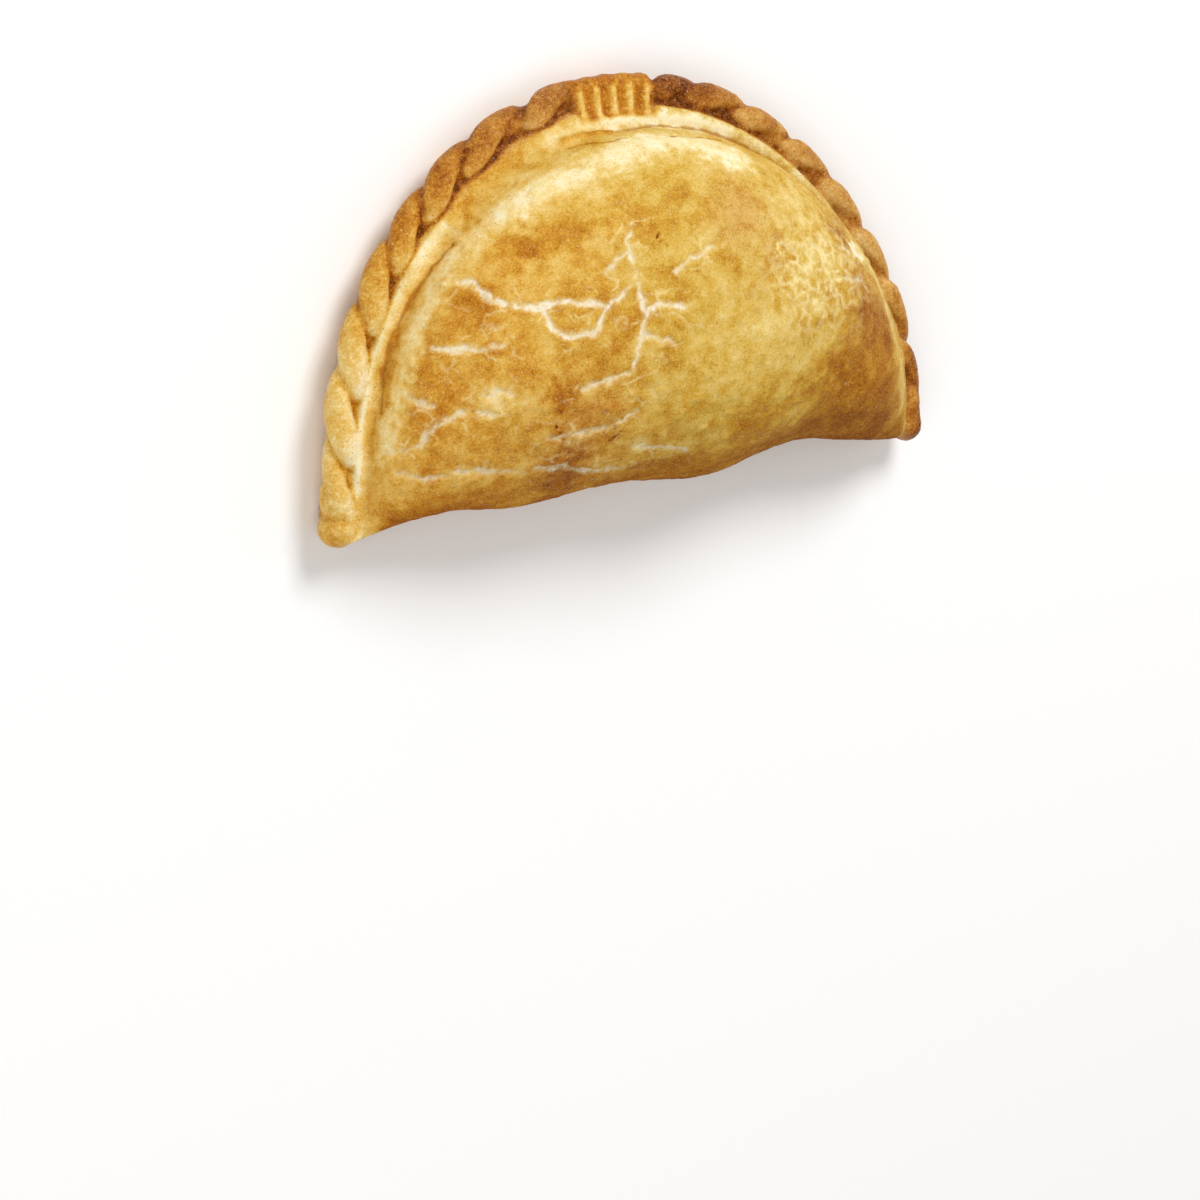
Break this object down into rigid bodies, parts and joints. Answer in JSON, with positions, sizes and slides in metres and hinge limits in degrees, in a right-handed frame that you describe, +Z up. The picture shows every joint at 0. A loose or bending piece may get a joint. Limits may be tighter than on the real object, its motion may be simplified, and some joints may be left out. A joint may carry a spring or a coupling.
{
  "type": "empanada",
  "caption": "Baked half-moon pasty with a plump domed top, a flat underside, a folded straight edge and a twisted rope seam round its curved edge.",
  "frame": {"origin": "under the middle of the bounding box, on the surface that the flat underside lies on", "axes": "+X along the fold, to the right with the fold nearest to the viewer; +Y from the fold to the middle of the rope seam; +Z up, out of the domed side"},
  "size_m": [0.1292, 0.0774, 0.0357],
  "materials": {
    "crust": "satin, egg-washed and baked golden, browner on the rope"
  },
  "bodies": {
    "root": {"empanada": "crust"}
  },
  "joints": []
}
